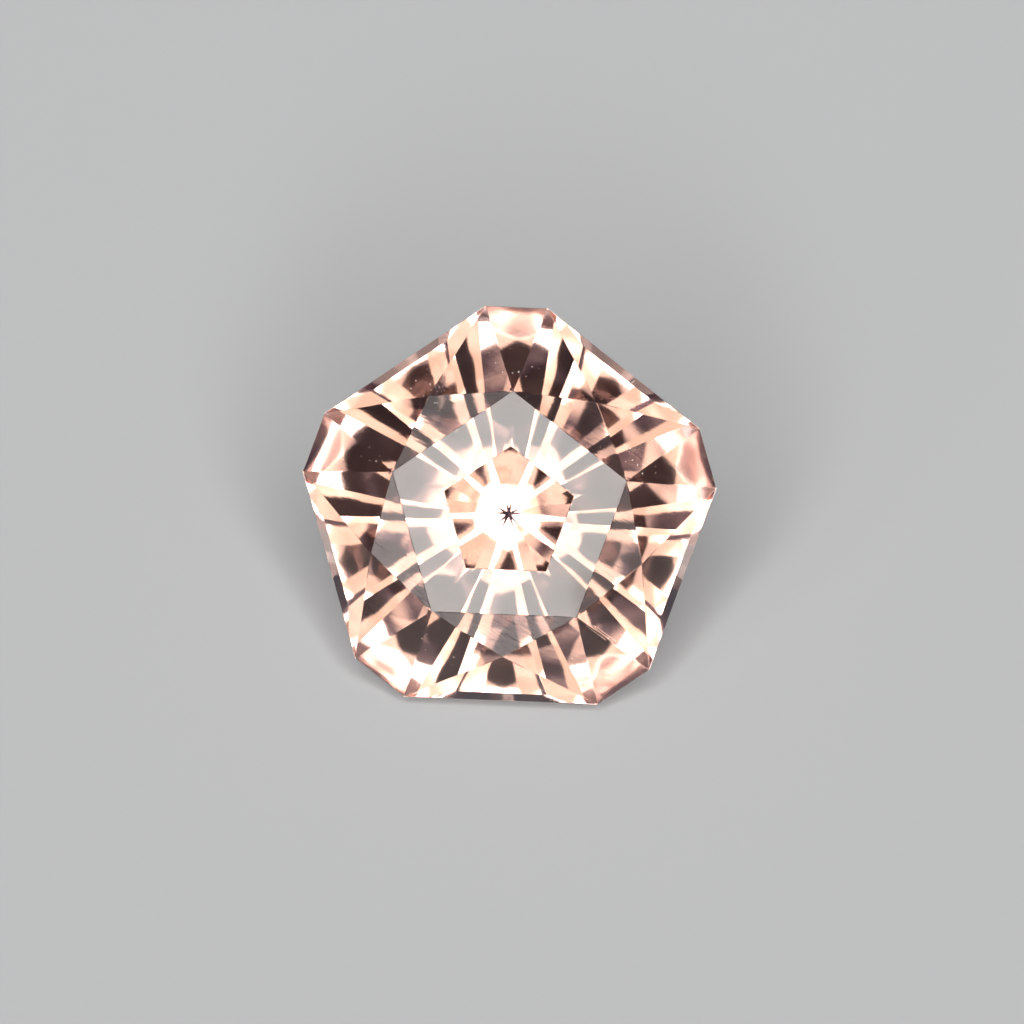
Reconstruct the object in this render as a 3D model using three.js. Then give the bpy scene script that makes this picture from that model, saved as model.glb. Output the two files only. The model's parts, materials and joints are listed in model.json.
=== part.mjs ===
// A faceted pink tourmaline: one stone with a five-sided outline and cut corners, lying on a pavilion facet.
// Millimetres, +Z up. The stone is cut upright, with its table up and its point down, and then laid down.
import * as THREE from "three";
import { ConvexGeometry } from "three/addons/geometries/ConvexGeometry.js";

// Outline, seen along the axis. Azimuths are in degrees from a cut corner, clockwise from above.
const FOLD = 5;
const SECTOR = 360 / FOLD;
const SIDE_AZIMUTH = SECTOR / 2;
const CORNER_RADIUS = 3.82;
const SHORT_SIDE = 1.13;

// Crown meet points: their distances from the axis, and the tilts that set their heights.
const TABLE_RADIUS = 1.23;
const STEP_RADIUS = 2.23;
const KITE_RADIUS = 2.58;
const STEP_TILT = 14;
const CORNER_CROWN_TILT = 34.8;
const SIDE_CROWN_TILT = 42.5;

// Main pavilion facets: their tilts, and how far below the girdle's top edge they pass the axis.
// The ones between stand at an azimuth to each side of every corner.
const CORNER_MAIN_TILT = 40.1;
const CORNER_MAIN_DEPTH = 3.267;
const BETWEEN_MAIN_AZIMUTH = 18;
const BETWEEN_MAIN_TILT = 39.5;
const BETWEEN_MAIN_DEPTH = 3.232;
const SIDE_MAIN_TILT = 40.4;
const SIDE_MAIN_DEPTH = 3.221;

// Steeper facets under the long sides, and the girdle's height above them.
const SIDE_BREAK_TILT = 51;
const SIDE_GIRDLE_HEIGHT = 0.19;

// How far outside a facet a corner may be, and how far apart two corners are when they are not the same one.
const SAME_POINT = 1e-5;
const APART = 1e-4;

// Three planes whose normals span less than this don't meet in a point.
const NEARLY_PARALLEL = 1e-6;

const radians = THREE.MathUtils.degToRad;

// A point at a distance from the axis, an azimuth and a height above the girdle's top edge.
function pointAt(radius, azimuth, height) {
  const a = radians(azimuth);
  return new THREE.Vector3(radius * Math.sin(a), radius * Math.cos(a), height);
}

// A facet's plane. Tilt is between its outward normal and +Z: 0 is the table, 90 a girdle facet.
function facet(azimuth, tilt, through) {
  const t = radians(tilt);
  const normal = pointAt(Math.sin(t), azimuth, Math.cos(t));
  return new THREE.Plane().setFromNormalAndCoplanarPoint(normal, through);
}

// The facet through three meet points, facing away from the axis.
function facetThrough(a, b, c) {
  const plane = new THREE.Plane().setFromCoplanarPoints(a, b, c);
  return plane.normal.z < 0 ? plane.negate() : plane;
}

const halfCorner = THREE.MathUtils.radToDeg(
  Math.asin(SHORT_SIDE / 2 / CORNER_RADIUS),
);
const shortApothem = CORNER_RADIUS * Math.cos(radians(halfCorner));
const longApothem =
  CORNER_RADIUS * Math.cos(radians(SIDE_AZIMUTH - halfCorner));

function crownFacets() {
  const stepHeight =
    (shortApothem - STEP_RADIUS) * Math.tan(radians(CORNER_CROWN_TILT));
  const kiteHeight =
    (longApothem - KITE_RADIUS) * Math.tan(radians(SIDE_CROWN_TILT));
  const stepWidth =
    (STEP_RADIUS - TABLE_RADIUS) * Math.cos(radians(SIDE_AZIMUTH));
  const tableHeight = stepHeight + stepWidth * Math.tan(radians(STEP_TILT));
  const facets = [facet(0, 0, pointAt(0, 0, tableHeight))];
  for (let i = 0; i < FOLD; i++) {
    const corner = i * SECTOR;
    const next = corner + SECTOR;
    const table = pointAt(TABLE_RADIUS, corner, tableHeight);
    const step = pointAt(STEP_RADIUS, corner, stepHeight);
    const nextStep = pointAt(STEP_RADIUS, next, stepHeight);
    const kite = pointAt(KITE_RADIUS, corner + SIDE_AZIMUTH, kiteHeight);
    const before = pointAt(CORNER_RADIUS, corner - halfCorner, 0);
    const after = pointAt(CORNER_RADIUS, corner + halfCorner, 0);
    const across = pointAt(CORNER_RADIUS, next - halfCorner, 0);
    facets.push(
      facetThrough(table, step, nextStep),
      facetThrough(step, nextStep, kite),
      facetThrough(step, kite, after),
      facetThrough(nextStep, kite, across),
      facetThrough(before, after, step),
      facetThrough(after, across, kite),
    );
  }
  return facets;
}

function girdleFacets() {
  const facets = [];
  for (let i = 0; i < FOLD; i++) {
    const corner = i * SECTOR;
    const side = corner + SIDE_AZIMUTH;
    facets.push(
      facet(corner, 90, pointAt(shortApothem, corner, 0)),
      facet(side, 90, pointAt(longApothem, side, 0)),
    );
  }
  return facets;
}

function pavilionFacets() {
  const cornerEnd = pointAt(0, 0, -CORNER_MAIN_DEPTH);
  const betweenEnd = pointAt(0, 0, -BETWEEN_MAIN_DEPTH);
  const sideEnd = pointAt(0, 0, -SIDE_MAIN_DEPTH);
  const facets = [];
  for (let i = 0; i < FOLD; i++) {
    const corner = i * SECTOR;
    const side = corner + SIDE_AZIMUTH;
    const belowSide = pointAt(longApothem, side, -SIDE_GIRDLE_HEIGHT);
    facets.push(
      facet(corner, 180 - CORNER_MAIN_TILT, cornerEnd),
      facet(corner - BETWEEN_MAIN_AZIMUTH, 180 - BETWEEN_MAIN_TILT, betweenEnd),
      facet(corner + BETWEEN_MAIN_AZIMUTH, 180 - BETWEEN_MAIN_TILT, betweenEnd),
      facet(side, 180 - SIDE_MAIN_TILT, sideEnd),
      facet(side, 180 - SIDE_BREAK_TILT, belowSide),
    );
  }
  return facets;
}

// Where three planes meet, or null where they are close to parallel.
function meet(a, b, c) {
  const bc = b.normal.clone().cross(c.normal);
  const det = a.normal.dot(bc);
  if (Math.abs(det) < NEARLY_PARALLEL) return null;
  return bc
    .multiplyScalar(-a.constant)
    .addScaledVector(c.normal.clone().cross(a.normal), -b.constant)
    .addScaledVector(a.normal.clone().cross(b.normal), -c.constant)
    .divideScalar(det);
}

// The corners of the solid that all the facets leave.
function cornersOf(facets) {
  const corners = [];
  const isInside = (p) =>
    facets.every((f) => f.distanceToPoint(p) < SAME_POINT);
  const isNew = (p) => corners.every((q) => q.distanceTo(p) > APART);
  for (let i = 0; i < facets.length; i++)
    for (let j = i + 1; j < facets.length; j++)
      for (let k = j + 1; k < facets.length; k++) {
        const p = meet(facets[i], facets[j], facets[k]);
        if (p && isInside(p) && isNew(p)) corners.push(p);
      }
  return corners;
}

function stone() {
  const facets = [...crownFacets(), ...girdleFacets(), ...pavilionFacets()];
  const pink = new THREE.MeshStandardMaterial({
    color: 0xe8b4a8,
    roughness: 0.02,
    metalness: 0,
  });
  const mesh = new THREE.Mesh(new ConvexGeometry(cornersOf(facets)), pink);
  mesh.name = "pink_tourmaline";
  return mesh;
}

// Turns the stone about X until the pavilion facet below one long side is level and underneath.
// The middle of its box's underside comes to the origin.
function layDown(mesh) {
  mesh.rotation.x = radians(SIDE_MAIN_TILT);
  const box = new THREE.Box3().setFromObject(mesh, true);
  const middle = box.getCenter(new THREE.Vector3());
  mesh.position.set(-middle.x, -middle.y, -box.min.z);
}

const tourmaline = stone();
layDown(tourmaline);
const part = new THREE.Group();
part.add(tourmaline);
export default part;
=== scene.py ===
"""A cut pink tourmaline, lying on a pavilion facet on a pale floor."""

import json
import math
import random

import bmesh
import bpy
from mathutils import Matrix, Vector
from mathutils.bvhtree import BVHTree


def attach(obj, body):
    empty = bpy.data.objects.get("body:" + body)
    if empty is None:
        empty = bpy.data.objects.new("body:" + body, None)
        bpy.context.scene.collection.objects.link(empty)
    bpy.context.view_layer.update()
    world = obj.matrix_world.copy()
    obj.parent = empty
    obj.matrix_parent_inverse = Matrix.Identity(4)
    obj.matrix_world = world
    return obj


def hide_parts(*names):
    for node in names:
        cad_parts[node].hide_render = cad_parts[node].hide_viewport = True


MM = 0.001
MICRON = 1e-6

# Camera: straight down on the table, from a little over ten centimetres.
PIXELS_PER_MM = 54.92
IMAGE_WIDTH = 1024
SENSOR_MM = 36
LENS_MM = 200
STONE_LEFT_PX = 3.8
STONE_BELOW_PX = 2.5
STONE_TURNED = math.radians(2.3)
TABLE_ABOVE_GIRDLE = 1.278 * MM

# Crystal.
TOURMALINE_IOR = 1.63
ABSORBED_PER_METRE = 66
ABSORBED_COLOUR = (0.92, 0.22, 0.0, 1)
FACET_EDGE = 12 * MICRON
SAME_PLACE = 0.5 * MICRON
SAME_FACET = math.radians(0.1)
SIDEWAYS_WITHIN = 0.01
BOUNCES = 32
GROUND_ROUGHNESS = 0.22

# Light: the ring, a little off the stone's axis, and the faint one outside it.
RING_STRENGTH = 7.5
RING_RIGHT = math.radians(-2)
RING_UP = math.radians(0.7)
GLOW_STRENGTH = 2.2
GLOW_LEAN = 1.2
GLOW_AZIMUTH = math.radians(225)

# Floor.
FLOOR_RADIUS = 600 * MM
FLOOR_BELOW = 2 * MICRON
FLOOR_GREY = (0.475, 0.505, 0.53, 1)

# Polish: how soft the facets make what is seen through them, and the lines that the lap left.
POLISH_ROUGHNESS = 0.042
FACET_WAVES_PER_METRE = 1100
FACET_WAVE_HEIGHT = 8 * MICRON
LAP_LINES_PER_MM = 12
LAP_LINE_DEPTH = 1.5 * MICRON
LAP_LINE_ROUGHNESS = 0.03
LAP_BREAKS_PER_MM = 1.5
FAINT_LAP = 0.12
LAPPED_TILT = math.radians(23.35)
LAPPED_MARGIN = math.radians(1.5)
LAP_STROKE_AZIMUTH = math.radians(118)

# Hairline scratches on a lower right corner facet: their middles, right and up of the table's middle as
# the camera sees them, in millimetres.
SCRATCH_MIDDLES = [(1.59, -2.14), (1.66, -2.13), (1.78, -2.17)]
SCRATCH_LENGTH = 0.45 * MM
SCRATCH_WIDTH = 16 * MICRON
SCRATCH_AZIMUTH = math.radians(126.8)
SCRATCH_ROUGHNESS = 0.4

# Dust patches: millimetres right and up of the table's middle as the camera sees them, spread, grains.
DUST_SEED = 7
DUST_PATCHES = [
    (-1.36, 2.26, 0.16, 34),
    (0.1, 2.45, 0.5, 22),
    (2.42, 1.0, 0.22, 26),
    (-2.5, 1.4, 0.3, 8),
    (-1.6, -2.3, 0.4, 10),
    (1.7, -2.0, 0.35, 9),
    (0.0, -2.6, 0.9, 10),
    (0.0, 0.0, 2.0, 40),
]
DUST_RADIUS = (4 * MICRON, 15 * MICRON)
DUST_REACH = 3.3 * MM
GRAIN_SEAT = 0.6
GRAIN_FLATTEST = 0.6
GRAIN_DENT = 0.2
GRAIN_TURN_AXIS = Vector((0.6, 0.3, 0.7))

# A lint fibre on the upper right facets, placed in the same way.
FIBRE_PATH = [(2.15, 2.22), (2.16, 2.28), (2.19, 2.34), (2.24, 2.39), (2.3, 2.43)]
FIBRE_RADIUS = 5 * MICRON
FIBRE_SIDES = 6
FIBRE_CLEARANCE = 1.1

# How far above the table the crown is looked for.
ABOVE_CROWN = 5 * MM


class Link:
    """A socket that takes part in sums. Each operator adds one Math node."""

    def __init__(self, tree, socket):
        self.tree = tree
        self.socket = socket

    def math(self, operation, *values):
        return self.tree.node(
            "ShaderNodeMath", {"operation": operation}, dict(enumerate(values))
        )

    def __add__(self, other):
        return self.math("ADD", self, other)

    def __radd__(self, other):
        return self.math("ADD", other, self)

    def __sub__(self, other):
        return self.math("SUBTRACT", self, other)

    def __rsub__(self, other):
        return self.math("SUBTRACT", other, self)

    def __mul__(self, other):
        return self.math("MULTIPLY", self, other)

    def __rmul__(self, other):
        return self.math("MULTIPLY", other, self)

    def __truediv__(self, other):
        return self.math("DIVIDE", self, other)

    def __rtruediv__(self, other):
        return self.math("DIVIDE", other, self)


class Tree:
    """A material's or the world's nodes, added one by one."""

    def __init__(self, owner):
        owner.use_nodes = True
        self.nodes = owner.node_tree.nodes
        self.links = owner.node_tree.links
        self.nodes.clear()

    def node(self, kind, settings=None, inputs=None, output=0):
        """Adds a node: its settings first, then the values or links of its sockets."""
        node = self.nodes.new(kind)
        for name, value in (settings or {}).items():
            if name == "stops":
                set_stops(node.color_ramp, value)
            else:
                setattr(node, name, value)
        for name, value in (inputs or {}).items():
            if isinstance(value, Link):
                self.links.new(value.socket, node.inputs[name])
            else:
                node.inputs[name].default_value = value
        return Link(self, node.outputs[output]) if node.outputs else None

    def vector(self, x, y, z):
        return self.node("ShaderNodeCombineXYZ", None, {0: x, 1: y, 2: z})

    def dot(self, link, fixed):
        settings = {"operation": "DOT_PRODUCT"}
        return self.node("ShaderNodeVectorMath", settings, {0: link, 1: tuple(fixed)}, output=1)

    def right_angles_between(self, link, fixed):
        """The angle between two directions, as a share of a right angle."""
        cosine = self.dot(link, fixed)
        return cosine.math("ARCCOSINE", cosine) / (math.pi / 2)

    def ramp(self, place, stops):
        return self.node("ShaderNodeValToRGB", {"stops": stops}, {"Fac": place})


def set_stops(ramp, stops):
    """Gives a colour ramp its stops: pairs of a place and a colour."""
    while len(ramp.elements) > 1:
        ramp.elements.remove(ramp.elements[-1])
    for i, (place, colour) in enumerate(stops):
        stop = ramp.elements.new(place) if i else ramp.elements[0]
        stop.position = place
        stop.color = (*colour, 1)


def scratches(tree, place, table_centre, axis):
    """1 on each hairline scratch of the crown, 0 elsewhere."""
    right, up = camera_axes(axis)
    stroke = right * math.sin(SCRATCH_AZIMUTH) + up * math.cos(SCRATCH_AZIMUTH)
    side = axis.cross(stroke)
    height = tree.dot(place, axis)
    on_crown = height.math("GREATER_THAN", height, table_centre.dot(axis) - TABLE_ABOVE_GIRDLE)
    across = tree.dot(place, side)
    along = tree.dot(place, stroke)
    marks = 0
    for x, y in SCRATCH_MIDDLES:
        middle = table_centre + (right * x + up * y) * MM
        narrow = across.math("COMPARE", across, middle.dot(side), SCRATCH_WIDTH / 2)
        long = along.math("COMPARE", along, middle.dot(stroke), SCRATCH_LENGTH / 2)
        marks = marks + narrow * long
    return marks * on_crown


def crystal_material(table_centre, axis):
    """Clear polished tourmaline, tinted all through, with a finely ground girdle and a few scratches."""
    material = bpy.data.materials.new("pink_tourmaline")
    tree = Tree(material)
    ground = tree.node("ShaderNodeAttribute", {"attribute_name": "ground"}, output=2)
    lapped = tree.node("ShaderNodeAttribute", {"attribute_name": "lapped"}, output=2)
    across = tree.node("ShaderNodeAttribute", {"attribute_name": "across"}, output=2)
    along = tree.node("ShaderNodeAttribute", {"attribute_name": "along"}, output=2)
    lines = tree.node(
        "ShaderNodeTexNoise",
        {"noise_dimensions": "2D"},
        {
            "Vector": tree.vector(across * LAP_LINES_PER_MM, along * LAP_BREAKS_PER_MM, 0),
            "Scale": 1.0,
            "Detail": 3.0,
            "Roughness": 0.6,
        },
    )
    place = tree.node("ShaderNodeTexCoord", output="Object")
    waves = tree.node(
        "ShaderNodeTexNoise",
        None,
        {
            "Vector": place,
            "Scale": FACET_WAVES_PER_METRE,
            "Detail": 0.0,
        },
    )
    height = lines * lapped * LAP_LINE_DEPTH + waves * FACET_WAVE_HEIGHT
    bump = tree.node("ShaderNodeBump", None, {"Height": height, "Distance": 1.0, "Strength": 1.0})
    matt = ground * (GROUND_ROUGHNESS - POLISH_ROUGHNESS)
    scratched = scratches(tree, place, table_centre, axis) * SCRATCH_ROUGHNESS
    surface = tree.node(
        "ShaderNodeBsdfPrincipled",
        None,
        {
            "Base Color": (1, 1, 1, 1),
            "Roughness": matt + POLISH_ROUGHNESS + lines * lapped * LAP_LINE_ROUGHNESS + scratched,
            "IOR": TOURMALINE_IOR,
            "Transmission Weight": 1.0,
            "Normal": bump,
        },
    )
    tint = tree.node(
        "ShaderNodeVolumeAbsorption",
        None,
        {"Color": ABSORBED_COLOUR, "Density": ABSORBED_PER_METRE},
    )
    tree.node("ShaderNodeOutputMaterial", None, {"Surface": surface, "Volume": tint})
    return material


def floor_material():
    material = bpy.data.materials.new("floor")
    tree = Tree(material)
    surface = tree.node(
        "ShaderNodeBsdfPrincipled",
        None,
        {"Base Color": FLOOR_GREY, "Roughness": 0.8},
    )
    tree.node("ShaderNodeOutputMaterial", None, {"Surface": surface})
    return material


def camera_axes(axis):
    """The camera's right and up, turned so that the stone stands a little clockwise."""
    right = Vector((1, 0, 0))
    turn = Matrix.Rotation(STONE_TURNED, 3, axis)
    return turn @ right, turn @ axis.cross(right)


def add_camera(table_centre, axis):
    """Looks straight down on the table, with the stone where it is in the photograph."""
    camera = bpy.data.objects.new("camera", bpy.data.cameras.new("camera"))
    camera.data.lens = LENS_MM
    camera.data.sensor_width = SENSOR_MM
    camera.data.clip_start = 1 * MM
    camera.data.clip_end = 10
    right, up = camera_axes(axis)
    distance = IMAGE_WIDTH * LENS_MM / SENSOR_MM / PIXELS_PER_MM * MM
    step = MM / PIXELS_PER_MM
    place = table_centre + axis * (distance - TABLE_ABOVE_GIRDLE)
    place += (right * STONE_LEFT_PX + up * STONE_BELOW_PX) * step
    facing = Matrix((right, up, axis)).transposed().to_4x4()
    camera.matrix_world = Matrix.Translation(place) @ facing
    bpy.context.scene.collection.objects.link(camera)
    bpy.context.scene.camera = camera


def add_light(axis):
    """A soft ring of light around the camera, and a faint narrow one outside it, mostly at the lower left."""
    world = bpy.data.worlds.new("studio")
    bpy.context.scene.world = world
    tree = Tree(world)
    direction = tree.node("ShaderNodeTexCoord")
    right, up = camera_axes(axis)
    centre = axis + right * math.tan(RING_RIGHT) + up * math.tan(RING_UP)
    ring = tree.ramp(
        tree.right_angles_between(direction, centre.normalized()),
        [
            (0 / 90, (0.002, 0.001, 0.001)),
            (10 / 90, (0.004, 0.003, 0.003)),
            (12 / 90, (0.018, 0.014, 0.02)),
            (13.3 / 90, (0.14, 0.12, 0.105)),
            (15.8 / 90, (0.25, 0.215, 0.18)),
            (17 / 90, (0.14, 0.115, 0.09)),
            (20 / 90, (0.25, 0.21, 0.17)),
            (22 / 90, (0.66, 0.6, 0.52)),
            (24.5 / 90, (1.0, 0.98, 0.95)),
            (31 / 90, (1.0, 0.98, 0.95)),
            (33 / 90, (0.26, 0.22, 0.17)),
            (35 / 90, (0.08, 0.066, 0.056)),
            (37 / 90, (0.02, 0.018, 0.03)),
            (40 / 90, (0.006, 0.006, 0.01)),
            (90 / 90, (0.004, 0.004, 0.006)),
        ],
    )
    glow = tree.ramp(
        tree.right_angles_between(direction, axis),
        [
            (45.5 / 90, (0.0, 0.0, 0.0)),
            (46.8 / 90, (1.0, 0.95, 0.93)),
            (49 / 90, (1.0, 0.95, 0.93)),
            (50.3 / 90, (0.0, 0.0, 0.0)),
        ],
    )
    side = right * math.sin(GLOW_AZIMUTH) + up * math.cos(GLOW_AZIMUTH)
    one_sided = (1 + tree.dot(direction, side) * GLOW_LEAN) * GLOW_STRENGTH
    one_sided = one_sided.math("MAXIMUM", one_sided, 0)
    lit = tree.node(
        "ShaderNodeAddShader",
        None,
        {
            0: tree.node("ShaderNodeBackground", None, {"Color": ring, "Strength": RING_STRENGTH}),
            1: tree.node("ShaderNodeBackground", None, {"Color": glow, "Strength": one_sided}),
        },
    )
    tree.node("ShaderNodeOutputWorld", None, {"Surface": lit})


def add_floor():
    mesh = bpy.data.meshes.new("floor")
    shape = bmesh.new()
    bmesh.ops.create_circle(shape, cap_ends=True, segments=96, radius=FLOOR_RADIUS)
    shape.to_mesh(mesh)
    shape.free()
    floor = bpy.data.objects.new("floor", mesh)
    floor.location.z = -FLOOR_BELOW
    floor.data.materials.append(floor_material())
    bpy.context.scene.collection.objects.link(floor)


def mark_finish(shape, axis, edge_faces):
    """Marks the ground girdle and edges and the lapped facets.

    It also measures each corner across and along the lap's strokes.
    """
    ground = shape.faces.layers.float.new("ground")
    lapped = shape.faces.layers.float.new("lapped")
    across = shape.loops.layers.float.new("across")
    along = shape.loops.layers.float.new("along")
    right, up = camera_axes(axis)
    stroke = right * math.sin(LAP_STROKE_AZIMUTH) + up * math.cos(LAP_STROKE_AZIMUTH)
    side = axis.cross(stroke)
    for face in shape.faces:
        face.normal_update()
        tilt = math.acos(max(-1, min(1, face.normal.dot(axis))))
        on_girdle = abs(tilt - math.pi / 2) < SIDEWAYS_WITHIN
        face[ground] = float(on_girdle or face in edge_faces)
        face[lapped] = 1.0 if abs(tilt - LAPPED_TILT) < LAPPED_MARGIN else FAINT_LAP
        for corner in face.loops:
            corner[across] = corner.vert.co.dot(side) / MM
            corner[along] = corner.vert.co.dot(stroke) / MM


def add_stone(node, table_centre, axis):
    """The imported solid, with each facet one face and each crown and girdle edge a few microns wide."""
    shape = bmesh.new()
    shape.from_mesh(node.data)
    shape.transform(node.matrix_world)
    bmesh.ops.remove_doubles(shape, verts=shape.verts, dist=SAME_PLACE)
    bmesh.ops.dissolve_limit(
        shape, angle_limit=SAME_FACET, verts=shape.verts, edges=shape.edges
    )
    crown_edges = [
        edge
        for edge in shape.edges
        if all(face.normal.dot(axis) > -SIDEWAYS_WITHIN for face in edge.link_faces)
    ]
    bevelled = bmesh.ops.bevel(
        shape,
        geom=crown_edges,
        offset=FACET_EDGE,
        offset_type="WIDTH",
        segments=1,
        affect="EDGES",
        clamp_overlap=True,
    )
    mark_finish(shape, axis, set(bevelled["faces"]))
    mesh = bpy.data.meshes.new("cut_stone")
    shape.to_mesh(mesh)
    shape.free()
    stone = bpy.data.objects.new("cut_stone", mesh)
    mesh.materials.append(crystal_material(table_centre, axis))
    bpy.context.scene.collection.objects.link(stone)
    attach(stone, "root")
    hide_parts("pink_tourmaline")
    return stone


def crown_finder(stone, table_centre, axis):
    """Gives a function from millimetres right and up of the table's middle to the crown's surface there."""
    tree = BVHTree.FromObject(stone, bpy.context.evaluated_depsgraph_get())
    right, up = camera_axes(axis)

    def find(x, y):
        start = table_centre + (right * x + up * y) * MM + axis * ABOVE_CROWN
        place, normal, _, _ = tree.ray_cast(start, -axis)
        return place, normal

    return find


def lint_material():
    """Pale lint and dust, a little yellower in places."""
    material = bpy.data.materials.new("dust")
    tree = Tree(material)
    speckle = tree.node("ShaderNodeTexNoise", None, {"Scale": 60000.0, "Detail": 2.0})
    colour = tree.node(
        "ShaderNodeValToRGB",
        {"stops": [(0.35, (0.75, 0.7, 0.64)), (0.65, (0.95, 0.94, 0.92))]},
        {"Fac": speckle},
    )
    surface = tree.node(
        "ShaderNodeBsdfPrincipled", None, {"Base Color": colour, "Roughness": 0.75}
    )
    tree.node("ShaderNodeOutputMaterial", None, {"Surface": surface})
    return material


def add_piece(name, shape, material):
    mesh = bpy.data.meshes.new(name)
    shape.to_mesh(mesh)
    shape.free()
    mesh.materials.append(material)
    piece = bpy.data.objects.new(name, mesh)
    bpy.context.scene.collection.objects.link(piece)
    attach(piece, "root")
    return piece


def add_dust(find, table_centre, material):
    """Small uneven grains, each sitting on a crown facet, inside the girdle."""
    chance = random.Random(DUST_SEED)
    shape = bmesh.new()
    for x, y, spread, grains in DUST_PATCHES:
        for _ in range(grains):
            place, normal = find(chance.gauss(x, spread), chance.gauss(y, spread))
            if place is None or (place - table_centre).length > DUST_REACH:
                continue
            radius = DUST_RADIUS[0] + (DUST_RADIUS[1] - DUST_RADIUS[0]) * chance.random() ** 2
            turn = Matrix.Rotation(chance.uniform(0, 6.28), 4, GRAIN_TURN_AXIS)
            wide = chance.uniform(GRAIN_FLATTEST, 1)
            high = chance.uniform(GRAIN_FLATTEST, 1)
            stretch = Matrix.Diagonal((1, wide, high, 1))
            seat = Matrix.Translation(place + normal * radius * GRAIN_SEAT)
            grain = bmesh.ops.create_icosphere(
                shape, subdivisions=1, radius=radius, matrix=seat @ turn @ stretch
            )
            for corner in grain["verts"]:
                dents = [chance.uniform(-GRAIN_DENT, GRAIN_DENT) * radius for _ in range(3)]
                corner.co += Vector(dents)
    return add_piece("dust", shape, material)


def add_fibre(find, material):
    """A short curved hair of lint, lying on the crown."""
    shape = bmesh.new()
    rings = []
    places = [find(x, y) for x, y in FIBRE_PATH]
    for i, (place, normal) in enumerate(places):
        before = places[max(i - 1, 0)][0]
        after = places[min(i + 1, len(places) - 1)][0]
        forward = (after - before).normalized()
        side = forward.cross(normal).normalized()
        out = side.cross(forward)
        middle = place + normal * FIBRE_RADIUS * FIBRE_CLEARANCE
        rings.append(
            [
                shape.verts.new(
                    middle
                    + (side * math.cos(a) + out * math.sin(a)) * FIBRE_RADIUS
                )
                for a in (k * math.tau / FIBRE_SIDES for k in range(FIBRE_SIDES))
            ]
        )
    for first, second in zip(rings, rings[1:]):
        for k in range(FIBRE_SIDES):
            following = (k + 1) % FIBRE_SIDES
            shape.faces.new((first[k], first[following], second[following], second[k]))
    shape.faces.new(rings[0][::-1])
    shape.faces.new(rings[-1])
    bmesh.ops.recalc_face_normals(shape, faces=shape.faces)
    return add_piece("lint_fibre", shape, material)


def set_render():
    """Colours as they are, and enough bounces for light to cross the stone many times."""
    scene = bpy.context.scene
    scene.view_settings.view_transform = "Standard"
    scene.cycles.max_bounces = BOUNCES
    scene.cycles.glossy_bounces = BOUNCES
    scene.cycles.transmission_bounces = BOUNCES


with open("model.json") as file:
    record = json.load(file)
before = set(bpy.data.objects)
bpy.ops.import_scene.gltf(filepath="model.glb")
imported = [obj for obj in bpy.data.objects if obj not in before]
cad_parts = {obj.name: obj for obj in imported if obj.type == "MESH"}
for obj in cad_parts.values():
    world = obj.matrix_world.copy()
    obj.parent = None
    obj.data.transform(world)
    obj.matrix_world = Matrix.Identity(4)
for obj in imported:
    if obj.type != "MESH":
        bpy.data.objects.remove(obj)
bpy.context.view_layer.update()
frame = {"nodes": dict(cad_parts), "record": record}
table = next(m for m in frame["record"]["mounts"] if m["name"] == "table")
table_centre = Vector(table["pos_m"])
axis = Vector(table["axis"]).normalized()
add_camera(table_centre, axis)
set_render()
add_light(axis)
add_floor()
stone = add_stone(frame["nodes"]["pink_tourmaline"], table_centre, axis)
find_crown = crown_finder(stone, table_centre, axis)
lint = lint_material()
add_dust(find_crown, table_centre, lint)
add_fibre(find_crown, lint)
